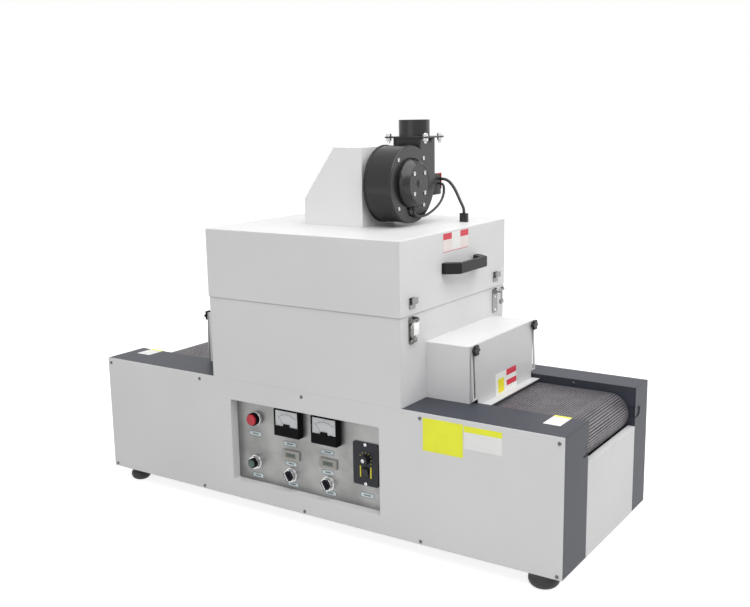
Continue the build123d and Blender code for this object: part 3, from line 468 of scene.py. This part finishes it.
def makeStage(setup):
    world = bpy.data.worlds.new("studio")
    bpy.context.scene.world = world
    world.use_nodes = True
    nodes, links = world.node_tree.nodes, world.node_tree.links
    background = nodes["Background"]
    strength = nodes.new("ShaderNodeMapRange")
    strength.inputs["To Min"].default_value = setup["world"]
    strength.inputs["To Max"].default_value = 1.0
    links.new(seenRays(world), strength.inputs["Value"])
    links.new(strength.outputs["Result"], background.inputs["Strength"])
    background.inputs["Color"].default_value = (1, 1, 1, 1)
    for name in ("top", "right", "front", "back"):
        makeLight(name + "Light", setup[name])
    shape = bmesh.new()
    bmesh.ops.create_grid(shape, x_segments=1, y_segments=1, size=setup["floorSize"] / 2)
    mesh = bpy.data.meshes.new("floor")
    shape.to_mesh(mesh)
    shape.free()
    floor = bpy.data.objects.new("floor", mesh)
    bpy.context.scene.collection.objects.link(floor)
    material, shader = newMaterial("floorPale", setup["floorColor"], 0.0, 0.9)
    shader.inputs["Specular IOR Level"].default_value = 0.0
    glow = ramp(material, seenRays(material), 0, 1, 0, setup["floorLift"])
    link(material, glow, shader.inputs["Emission Strength"])
    shader.inputs["Emission Color"].default_value = (1, 1, 1, 1)
    mesh.materials.append(material)


makeStage(lighting)
bpy.context.scene.view_settings.view_transform = "Standard"
print("camera, floor and lights set")


# Leads on the lid
leads = {
    "motorLead": {
        "node": "motor_lead",
        "radius": 2.5,
        "route": [
            (134.5, -2.0, 627.3), (134.5, -2.0, 619.8), (134.5, 9.0, 615.3), (134.5, 26.0, 612.3),
            (134.5, 48.0, 613.8), (134.5, 70.0, 619.3), (134.5, 92.0, 627.8), (134.5, 109.0, 638.3),
            (134.5, 118.5, 651.3), (134.0, 120.5, 663.3), (132.5, 118.0, 672.8), (124.0, 117.0, 672.8),
        ],
        "length": 0.1689,
        "farEnd": "object",
        "goesWith": [],
    },
    "supplyLead": {
        "node": "supply_lead",
        "radius": 3.0,
        "route": [
            (124.0, 118.5, 682.3), (131.5, 118.5, 682.3), (141.0, 121.5, 680.3), (151.0, 122.5, 671.8),
            (161.0, 121.0, 659.3), (169.0, 119.0, 645.8), (177.5, 116.5, 632.5), (184.6, 114.0, 622.5),
            (184.6, 114.0, 613.3),
        ],
        "length": 0.0997,
        "farEnd": "plug",
        "goesWith": ["lead_plug"],
    },
}


def makeLead(name, setup):
    curve = bpy.data.curves.new(name, "CURVE")
    curve.dimensions = "3D"
    curve.bevel_depth = setup["radius"] * mm
    curve.bevel_resolution = 5
    curve.resolution_u = 12
    curve.use_fill_caps = True
    spline = curve.splines.new("NURBS")
    spline.points.add(len(setup["route"]) - 1)
    for point, place in zip(spline.points, setup["route"]):
        point.co = (*(value * mm for value in place), 1)
    spline.order_u = 3
    spline.use_endpoint_u = True
    lead = bpy.data.objects.new(name, curve)
    bpy.context.scene.collection.objects.link(lead)
    curve.materials.append(finishes["leadBlack"])
    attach(lead, "lid")
    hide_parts(setup["node"])


for leadName, leadSetup in leads.items():
    makeLead(leadName, leadSetup)
print("leads made:", len(leads))

# Belt: crossing strands round both drums, with a bound edge each side
beltSetup = {
    "halfSpan": 500.0,
    "axisHeight": 231.8,
    "outerRadius": 38.7,
    "strandThickness": 1.1,
    "low": -100.0,
    "high": 136.0,
    "edgeBand": 6.0,
    "pitch": 5.0,
    "alongWidth": 1.2,
    "alongSink": 0.4,
    "crossWidth": 1.8,
    "arcSteps": 14,
}


def makeBelt(setup):
    shape = bmesh.new()
    span, height, outer = setup["halfSpan"], setup["axisHeight"], setup["outerRadius"]
    inner = outer - setup["strandThickness"]
    first, last = setup["low"] + setup["edgeBand"], setup["high"] - setup["edgeBand"]
    count = round((last - first) / setup["pitch"])
    pitch = (last - first) / count
    strips = [(setup["low"], first, 1, 0.0), (last, setup["high"], 1, 0.0)]
    for index in range(1, count):
        left = first + index * pitch - setup["alongWidth"] / 2
        strips.append((left, left + setup["alongWidth"], 0, setup["alongSink"]))
    for low, high, finish, sink in strips:
        corners = [(-span, low, height + inner + sink), (-span, high, height + inner + sink),
                   (-span, high, height + outer - sink), (-span, low, height + outer - sink)]
        verts = [shape.verts.new(corner) for corner in corners]
        edges = [shape.edges.new((verts[i], verts[(i + 1) % 4])) for i in range(4)]
        for side in (1, -1):
            run = bmesh.ops.extrude_edge_only(shape, edges=edges)["geom"]
            bmesh.ops.translate(shape, vec=(side * 2 * span, 0, 0), verts=partsOf(run, bmesh.types.BMVert))
            turned = bmesh.ops.spin(
                shape, geom=partsOf(run, (bmesh.types.BMVert, bmesh.types.BMEdge)),
                cent=(side * span, 0, height), axis=(0, 1, 0), dvec=(0, 0, 0), angle=math.pi,
                steps=setup["arcSteps"], use_merge=False, use_normal_flip=False, use_duplicate=False)
            edges = partsOf(turned["geom_last"], bmesh.types.BMEdge)
        for face in shape.faces:
            if not face.tag:
                face.material_index = finish
                face.tag = True
    bmesh.ops.remove_doubles(shape, verts=shape.verts, dist=0.01)
    bmesh.ops.recalc_face_normals(shape, faces=shape.faces)
    middleRadius = outer - setup["strandThickness"] / 2
    arc = math.pi * middleRadius
    loop = 4 * span + 2 * arc
    crossCount = round(loop / setup["pitch"])
    centred = Matrix.Translation((0, (first + last) / 2, 0))

    def onDrum(centre, turn):
        drum = Matrix.Translation((centre, 0, height)) @ Matrix.Rotation(turn, 4, "Y")
        return drum @ Matrix.Translation((0, 0, middleRadius))

    for index in range(crossCount):
        along = index * loop / crossCount
        if along < 2 * span:
            place = Matrix.Translation((along - span, 0, height + middleRadius))
        elif along < 2 * span + arc:
            place = onDrum(span, (along - 2 * span) / middleRadius)
        elif along < 4 * span + arc:
            place = Matrix.Translation((3 * span + arc - along, 0, height - middleRadius))
        else:
            place = onDrum(-span, math.pi + (along - 4 * span - arc) / middleRadius)
        # Cross strands take the lighter pinkish finish: painted highlight and painted reflection of the
        # drum
        addBar(shape, place @ centred, (setup["crossWidth"], last - first, setup["strandThickness"]), 2)
    piece = finishPiece("beltMesh", shape, ["beltAlong", "beltEdge", "beltCrossPaintedHighlight"], "base")
    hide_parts("belt")


makeBelt(beltSetup)
print("belt made")

# Screws of the panels and side boxes
panelScrews = {
    "panelColumns": [-541.0, -270.5, 0.0, 270.5, 541.0],
    "panelRows": [37.0, 275.0],
    "head": (3.4, 1.6),
    "firstTurn": 0.3,
    "panelTurn": 0.7,
    "railTurn": 0.5,
    "railColumns": [-420.5, -281.0, 281.0, 420.5],
    "railRow": 277.3,
    "front": -211.0,
    "back": 211.0,
    "railFaces": [(-104.0, 1), (140.0, -1)],
}


def makePanelScrews(setup):
    shape = bmesh.new()
    turn = setup["firstTurn"]
    for column in setup["panelColumns"]:
        for row in setup["panelRows"]:
            addScrew(shape, (column, setup["front"], row), (0, -1, 0), *setup["head"], turn)
            addScrew(shape, (column, setup["back"], row), (0, 1, 0), *setup["head"], -turn)
            turn += setup["panelTurn"]
    for face, inwards in setup["railFaces"]:
        for column in setup["railColumns"]:
            addScrew(shape, (column, face, setup["railRow"]), (0, inwards, 0), *setup["head"], turn)
            turn += setup["railTurn"]
    finishPiece("panelScrews", shape, "screwSteel", "base")


makePanelScrews(panelScrews)

# Screws of the blower and its motor cover, and the bolts of the outlet flange
blowerScrews = {
    "faceX": 128.0,
    "axis": (0.0, 681.3),
    "faceRadius": 66.6,
    "faceScrew": (4.2, 2.6),
    "faceTurn": 0.4,
    "capX": 147.0,
    "capRadius": 28.0,
    "capScrew": (4.4, 3.2),
    "capTurn": 0.9,
    "flangeLevel": (768.3, 771.3),
    "throat": (96.5, 64.5),
    "boltSpread": (43.3, 28.7),
    "washer": 1.2,
    "washerRadius": 5.9,
    "headTop": 5.8,
    "nutDrop": 6.2,
    "flats": 9.4,
    "studDrop": 10.5,
    "studTop": 7.2,
    "studRadius": 2.8,
}


def makeBlowerScrews(setup):
    shape = bmesh.new()
    axisY, axisZ = setup["axis"]
    for step in range(4):
        angle = math.radians(45 + 90 * step)
        for kind in ("face", "cap"):
            reach = setup[kind + "Radius"]
            place = (setup[kind + "X"], axisY + reach * math.cos(angle), axisZ + reach * math.sin(angle))
            addScrew(shape, place, (1, 0, 0), *setup[kind + "Screw"], setup[kind + "Turn"] * step)
    low, high = setup["flangeLevel"]
    washer, flats = setup["washer"], setup["flats"]
    for alongX in (-1, 1):
        for alongY in (-1, 1):
            x = setup["throat"][0] + alongX * setup["boltSpread"][0]
            y = setup["throat"][1] + alongY * setup["boltSpread"][1]
            addRod(shape, (x, y, high), (x, y, high + washer), setup["washerRadius"], sides=24)
            addRod(shape, (x, y, low - washer), (x, y, low), setup["washerRadius"], sides=24)
            addHex(shape, (x, y, high + washer), (x, y, high + setup["headTop"]), flats)
            addHex(shape, (x, y, low - setup["nutDrop"]), (x, y, low - washer), flats)
            addRod(shape, (x, y, low - setup["studDrop"]), (x, y, high + setup["studTop"]),
                   setup["studRadius"], sides=16)
    finishPiece("blowerFasteners", shape, "chrome", "lid")


makeBlowerScrews(blowerScrews)
print("screws made")

# Motor cover: a dish with a round shoulder and a lip about its nose, and the lead's gland below
coverDish = {
    "base": (128.0, 0.0, 681.3),
    "profile": [(0.0, 0.0), (50.0, 0.0), (50.0, 2.6), (49.6, 4.6), (48.6, 7.2), (47.0, 10.0), (44.9, 12.9),
                (42.6, 15.6), (40.6, 17.4), (39.5, 18.3), (38.9, 19.3), (38.1, 19.9), (37.1, 20.0),
                (36.3, 19.6), (35.8, 18.9), (8.4, 18.9), (8.2, 20.0), (7.5, 20.5), (0.0, 20.5)],
    "glandFoot": (134.5, -2.0, 627.3),
    "gland": [(0.0, 0.0), (3.4, 0.0), (4.2, 0.6), (4.5, 1.6), (4.5, 8.0), (0.0, 8.0)],
}


def makeMotorCover(setup):
    shape = bmesh.new()
    addTurned(shape, setup["base"], (1, 0, 0), setup["profile"], steps=64)
    addTurned(shape, setup["glandFoot"], (0, 0, 1), setup["gland"], steps=24)
    piece = finishPiece("motorCoverDish", shape, "blowerBlack", "lid", smooth=True)
    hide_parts("motor_cover")


makeMotorCover(coverDish)
print("motor cover made")

# Controls: what shows on the plate behind the front panel's opening
plate = {"face": -191.0, "edge": 31.0}


def onPlate(column, row, proud=0.0):
    return faceFrame((column, plate["face"] - proud, plate["edge"] + row), (1, 0, 0), (0, -1, 0))


def spotOn(column, row, proud):
    return onPlate(column, row, proud).to_translation()


meterSetup = {
    "columns": (-45.0, 48.0),
    "row": 189.5,
    "floor": 11.5,
    "window": (57.6, 32.6),
    "dialSheet": 0.5,
    "pivotDrop": 24.0,
    "scaleRadius": 32.0,
    "scaleHalfAngle": 40.0,
    "divisions": 20,
    "longEvery": 5,
    "longTick": (0.7, 4.6),
    "shortTick": (0.45, 2.6),
    "tickInk": 0.12,
    "arc": (0.5, 0.1),
    "needle": (0.6, 25.0, 0.3),
    "needleReach": 20.5,
    "needleLift": 0.9,
    "needleTurn": 38.0,
    "coverProud": 14.4,
    "coverSheet": 0.9,
}


def makeMeters(setup):
    dials = bmesh.new()
    covers = bmesh.new()
    width, height = setup["window"]
    sheet, last = setup["dialSheet"], setup["divisions"]
    spread = setup["scaleHalfAngle"]
    arcWidth, arcInk = setup["arc"]
    chord = 2 * setup["scaleRadius"] * math.tan(math.radians(spread / last))
    for column in setup["columns"]:
        face = onPlate(column, setup["row"], setup["floor"] + sheet)
        addBar(dials, face @ Matrix.Translation((0, 0, -sheet / 2)), (width, height, sheet), 0)
        pivot = face @ Matrix.Translation((0, -setup["pivotDrop"], 0))
        for step in range(last + 1):
            ray = pivot @ Matrix.Rotation(math.radians(spread - 2 * spread * step / last), 4, "Z")
            wide, tall = setup["shortTick"] if step % setup["longEvery"] else setup["longTick"]
            reach, ink = setup["scaleRadius"] + tall / 2, setup["tickInk"]
            addBar(dials, ray @ Matrix.Translation((0, reach, ink / 2)), (wide, tall, ink), 1)
            if 0 < step < last:
                arc = ray @ Matrix.Translation((0, setup["scaleRadius"], arcInk / 2))
                addBar(dials, arc, (chord, arcWidth, arcInk), 1)
        hand = pivot @ Matrix.Rotation(math.radians(setup["needleTurn"]), 4, "Z")
        middle = Matrix.Translation((0, setup["needleReach"], setup["needleLift"]))
        addBar(dials, hand @ middle, setup["needle"], 1)
        cover = onPlate(column, setup["row"], setup["coverProud"] - setup["coverSheet"] / 2)
        addBar(covers, cover, (width, height, setup["coverSheet"]))
    finishPiece("meterDials", dials, ["dialWhite", "printBlack"], "base")
    finishPiece("meterCovers", covers, "meterClear", "base", bevelWidth=0.3)


makeMeters(meterSetup)

# Pilot lamp: nut, barrel and a fluted lens
lampSetup = {
    "centre": (-137.0, 173.0),
    "nut": [(0.0, 0.0), (14.4, 0.0), (14.4, 2.4), (13.6, 3.0), (0.0, 3.0)],
    "barrel": [(0.0, 2.5), (13.2, 2.5), (13.4, 3.2), (13.4, 11.6), (12.9, 12.6), (0.0, 12.6)],
    "fluteDepth": 0.9,
    "flutes": 20,
    "rings": [(11.9, 12.2, 1.0), (11.9, 15.8, 1.0), (10.3, 17.0, 0.6), (2.0, 17.0, 0.0)],
}


def makePilotLamp(setup):
    column, row = setup["centre"]
    foot = spotOn(column, row, 0)
    shape = bmesh.new()
    addTurned(shape, foot, (0, -1, 0), setup["nut"], finish=0)
    addTurned(shape, foot, (0, -1, 0), setup["barrel"], finish=1)
    base = onPlate(column, row)
    count = 2 * setup["flutes"]
    rows = []
    for radius, proud, share in setup["rings"]:
        verts = []
        for step in range(count):
            angle = math.tau * step / count
            reach = radius - (setup["fluteDepth"] * share if step % 2 else 0.0)
            spot = Vector((reach * math.cos(angle), reach * math.sin(angle), proud))
            verts.append(shape.verts.new(base @ spot))
        rows.append(verts)
    for lower, upper in zip(rows, rows[1:]):
        for step in range(count):
            after = (step + 1) % count
            shape.faces.new((lower[step], lower[after], upper[after], upper[step])).material_index = 2
    shape.faces.new(list(reversed(rows[0]))).material_index = 2
    shape.faces.new(rows[-1]).material_index = 2
    piece = finishPiece("pilotLampHead", shape, ["chrome", "meterBlack", "lensRed"], "base")
    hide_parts("pilot_lamp")


makePilotLamp(lampSetup)

# Selector lines, the button's and the knob's caps, and the speed controller's marks
switchSetup = {
    "selectors": {"left": -45.0, "right": 48.0},
    "selectorRow": 69.0,
    "gripProud": 21.0,
    "gripTurn": 30.0,
    "inlay": (2.4, 16.6, 0.6),
    "button": (-137.0, 80.0),
    "buttonCap": [(0.0, 18.8), (8.3, 18.8), (8.3, 19.2), (7.4, 19.7), (0.0, 19.9)],
    "knob": (138.0, 135.5),
    "knobCap": [(0.0, 12.9), (3.9, 12.9), (3.9, 13.5), (3.4, 13.9), (0.0, 14.0)],
    "plateProud": 3.0,
    "plateScrews": [(138.0, 165.5), (138.0, 86.5)],
    "plateScrew": (3.3, 1.6),
    "screwTurn": 0.5,
    "tickRadius": 13.8,
    "tick": (0.9, 2.4, 0.2),
    "ticks": 9,
    "tickSpread": 120.0,
    "barColumns": (126.0, 150.0),
    "barRow": 110.5,
    "barSize": (2.6, 22.5, 0.2),
}


def makeSwitchDetail(setup):
    for name, column in setup["selectors"].items():
        shape = bmesh.new()
        place = onPlate(column, setup["selectorRow"], setup["gripProud"])
        addBar(shape, place @ Matrix.Rotation(math.radians(setup["gripTurn"]), 4, "Z"), setup["inlay"])
        finishPiece(name + "SelectorLine", shape, "inlayWhite", "selector_" + name,
                    bevelWidth=0.15)
    shape = bmesh.new()
    addTurned(shape, spotOn(*setup["button"], 0), (0, -1, 0), setup["buttonCap"])
    finishPiece("buttonCap", shape, "buttonGreen", "push_button", smooth=True)
    shape = bmesh.new()
    addTurned(shape, spotOn(*setup["knob"], 0), (0, -1, 0), setup["knobCap"])
    finishPiece("knobCap", shape, "inlayWhite", "speed_knob", smooth=True)
    shape = bmesh.new()
    for column in setup["barColumns"]:
        addBar(shape, onPlate(column, setup["barRow"], setup["plateProud"]), setup["barSize"])
    for step in range(setup["ticks"]):
        angle = math.radians(setup["tickSpread"] * (1 - 2 * step / (setup["ticks"] - 1)))
        place = onPlate(*setup["knob"], setup["plateProud"]) @ Matrix.Rotation(angle, 4, "Z")
        addBar(shape, place @ Matrix.Translation((0, setup["tickRadius"], 0)), setup["tick"])
    finishPiece("speedMarks", shape, "printYellow", "base")
    shape = bmesh.new()
    for number, (column, row) in enumerate(setup["plateScrews"]):
        spot = spotOn(column, row, setup["plateProud"])
        addScrew(shape, spot, (0, -1, 0), *setup["plateScrew"], setup["screwTurn"] + number)
    finishPiece("speedPlateScrews", shape, "chrome", "base")


makeSwitchDetail(switchSetup)

# Line labels with a plain bar each, and the hour counters' windows with bars for figures
labelSetup = {
    "places": [(-138.0, 140.0, 32.0), (-135.5, 50.0, 28.0), (-48.5, 132.8, 31.0), (45.8, 132.7, 31.0),
               (-46.3, 91.5, 28.0), (46.2, 90.9, 28.0), (-42.9, 48.0, 27.0), (51.1, 49.0, 27.0),
               (139.4, 62.3, 31.0)],
    "height": 9.5,
    "thickness": 0.3,
    "rim": 0.8,
    "lineShare": 0.5,
    "lineHeight": 2.4,
    "lineLift": 1.3,
    "displays": [(-45.0, 110.0), (48.0, 110.0)],
    "displayProud": 2.5,
    "displaySize": (24.6, 8.6, 0.5),
    "digits": 5,
    "digitPitch": 3.6,
    "digit": (2.2, 4.4, 0.1),
}


def makeLabels(setup):
    shape = bmesh.new()
    thick, rim, height = setup["thickness"], setup["rim"], setup["height"]
    for column, row, width in setup["places"]:
        addBar(shape, onPlate(column, row, thick / 2), (width, height, thick), 1)
        addBar(shape, onPlate(column, row, thick), (width - 2 * rim, height - 2 * rim, thick / 2), 0)
        line = (width * setup["lineShare"], setup["lineHeight"], thick / 2)
        addBar(shape, onPlate(column, row, setup["lineLift"] * thick), line, 1)
    finishPiece("controlLabels", shape, ["labelBlue", "labelRim"], "base")
    shape = bmesh.new()
    thick = setup["displaySize"][2]
    for column, row in setup["displays"]:
        addBar(shape, onPlate(column, row, setup["displayProud"] + thick / 2), setup["displaySize"], 0)
        for step in range(setup["digits"]):
            across = (step - (setup["digits"] - 1) / 2) * setup["digitPitch"]
            addBar(shape, onPlate(column + across, row, setup["displayProud"] + thick), setup["digit"], 1)
    finishPiece("counterDisplays", shape, ["displayGreen", "displayDark"], "base")


makeLabels(labelSetup)
print("controls made")

# Closing plates behind the take-up slots in the posts
coverSetup = {
    "end": 548.0,
    "innerFaces": ((-106.0, -1), (142.0, 1)),
    "depth": 30.0,
    "low": 221.5,
    "high": 249.0,
    "sheet": 1.2,
    "reach": 30.0,
}


def makeSlotCovers(setup):
    shape = bmesh.new()
    end, sheet = setup["end"], setup["sheet"]
    for side in ends.values():
        for face, away in setup["innerFaces"]:
            for along, depth in ((sheet, setup["depth"]), (setup["reach"], sheet)):
                addBlock(shape, (side * end, face, setup["low"]),
                         (side * (end - along), face + away * depth, setup["high"]))
    finishPiece("slotCovers", shape, "frameGrey", "base")


makeSlotCovers(coverSetup)

# Latch rivets, the seal round the terminal box and the lamps' end caps
detailSetup = {
    "latchFace": 231.5,
    "latchRows": (-171.0, 165.0),
    "rivetHeights": (434.0, 406.5),
    "rivet": [(0.0, 0.0), (2.4, 0.0), (2.1, 0.8), (1.2, 1.3), (0.0, 1.4)],
    "sealRadius": 1.0,
    "seal": [(124.4, 106.0, 693.5), (124.4, 124.8, 693.5), (124.4, 124.8, 662.0)],
    "lampColumns": (-95.0, 95.0),
    "lampHeight": 498.0,
    "lampEnds": (-207.0, 201.0),
    "lampCap": (12.5, 12.0),
}


def makeSmallParts(setup):
    shape = bmesh.new()
    for side in ends.values():
        for row in setup["latchRows"]:
            for height in setup["rivetHeights"]:
                spot = (side * setup["latchFace"], row, height)
                addTurned(shape, spot, (side, 0, 0), setup["rivet"], steps=16)
    finishPiece("latchRivets", shape, "nickel", "base", smooth=True)
    shape = bmesh.new()
    for start, end in zip(setup["seal"], setup["seal"][1:]):
        addRod(shape, start, end, setup["sealRadius"], sides=10)
    finishPiece("terminalSeal", shape, "wireRed", "lid")
    shape = bmesh.new()
    radius, length = setup["lampCap"]
    for column in setup["lampColumns"]:
        for start, inwards in zip(setup["lampEnds"], (1, -1)):
            addRod(shape, (column, start, setup["lampHeight"]),
                   (column, start + inwards * length, setup["lampHeight"]), radius, sides=32)
    finishPiece("lampCaps", shape, "ceramic", "lid", bevelWidth=0.8)


makeSmallParts(detailSetup)
print("small parts made")

# Stickers: plain patches of colour, each a little proud of what is under it
stickerSetup = {
    "thickness": 0.2,
    "overlap": 1.3,
    "front": -211.0,
    "yellow": (276.5, 359.0, 216.0, 278.0),
    "white": (361.0, 435.5, 233.5, 276.3),
    "whiteBand": 11.0,
    "railTop": 286.0,
    "railTags": [(485.5, 518.0, -155.0, -101.0), (-523.0, -485.0, -149.0, -101.0)],
    "railBand": 8.0,
    "lidEnd": 231.5,
    "lidTag": (-55.0, 45.0, 555.0, 591.0),
    "lidTagBlock": (33.0, 12.0),
    "lidTagLine": 1.0,
    "lidTagMargin": 2.0,
    "shieldTop": (323.8, 395.0),
    "shieldTilt": 2.5,
    "shieldSheet": 2.0,
    "shieldTag": (-26.0, 66.0, 275.0, 321.0),
    "shieldBands": [(23.0, 17.0, 44.0, 12.0, 1), (23.0, -4.0, 44.0, 11.0, 1), (-23.0, -3.0, 26.0, 28.0, 2)],
}


def makeStickers(setup):
    thick = setup["thickness"]
    under, over = thick / 2, setup["overlap"] * thick
    front, top = setup["front"], setup["railTop"]
    shape = bmesh.new()
    for name, finish in (("yellow", 0), ("white", 1)):
        left, right, low, high = setup[name]
        addBlock(shape, (left, front - thick, low), (right, front, high), finish)
    left, right, low, high = setup["white"]
    addBlock(shape, (left, front - over, high - setup["whiteBand"]), (right, front - under, high), 0)
    for left, right, low, high in setup["railTags"]:
        addBlock(shape, (left, low, top), (right, high, top + thick), 1)
        addBlock(shape, (left, high - setup["railBand"], top + under), (right, high, top + over), 0)
    finishPiece("frontStickers", shape, ["stickerYellow", "stickerWhite"], "base")
    shape = bmesh.new()
    face = setup["lidEnd"]
    low, high, bottom, top = setup["lidTag"]
    length, height = setup["lidTagBlock"]
    patches = [
        (low, low + length, top - height, top, 1), (high - length, high, top - height, top, 1),
        (low, high, bottom, bottom + setup["lidTagLine"], 1),
        (low + length, high - length, bottom + setup["lidTagMargin"], top, 2),
    ]
    for side in ends.values():
        addBlock(shape, (side * face, low, bottom), (side * (face + thick), high, top), 0)
        for left, right, foot, head, finish in patches:
            addBlock(shape, (side * (face + under), left, foot),
                     (side * (face + over), right, head), finish)
    finishPiece("lidStickers", shape, ["stickerPink", "printRed", "stickerWhite"], "lid")
    tilt = math.radians(setup["shieldTilt"])
    left, right, low, high = setup["shieldTag"]
    topX, topZ = setup["shieldTop"]
    for name, side in ends.items():
        shape = bmesh.new()
        out = Vector((side * math.cos(tilt), 0, math.sin(tilt)))
        level = (low + high) / 2
        middle = Vector((side * (topX + (topZ - level) * math.tan(tilt)), (left + right) / 2, level))
        place = faceFrame(middle + out * setup["shieldSheet"], (0, side, 0), out)
        addBar(shape, place, (right - left, high - low, 2 * thick), 0)
        for across, rise, width, height, finish in setup["shieldBands"]:
            addBar(shape, place @ Matrix.Translation((across, rise, thick)), (width, height, thick), finish)
        finishPiece(name + "ShieldSticker", shape, ["stickerWhite", "printRed", "printYellow"],
                    "shield_" + name)


makeStickers(stickerSetup)
print("stickers made")
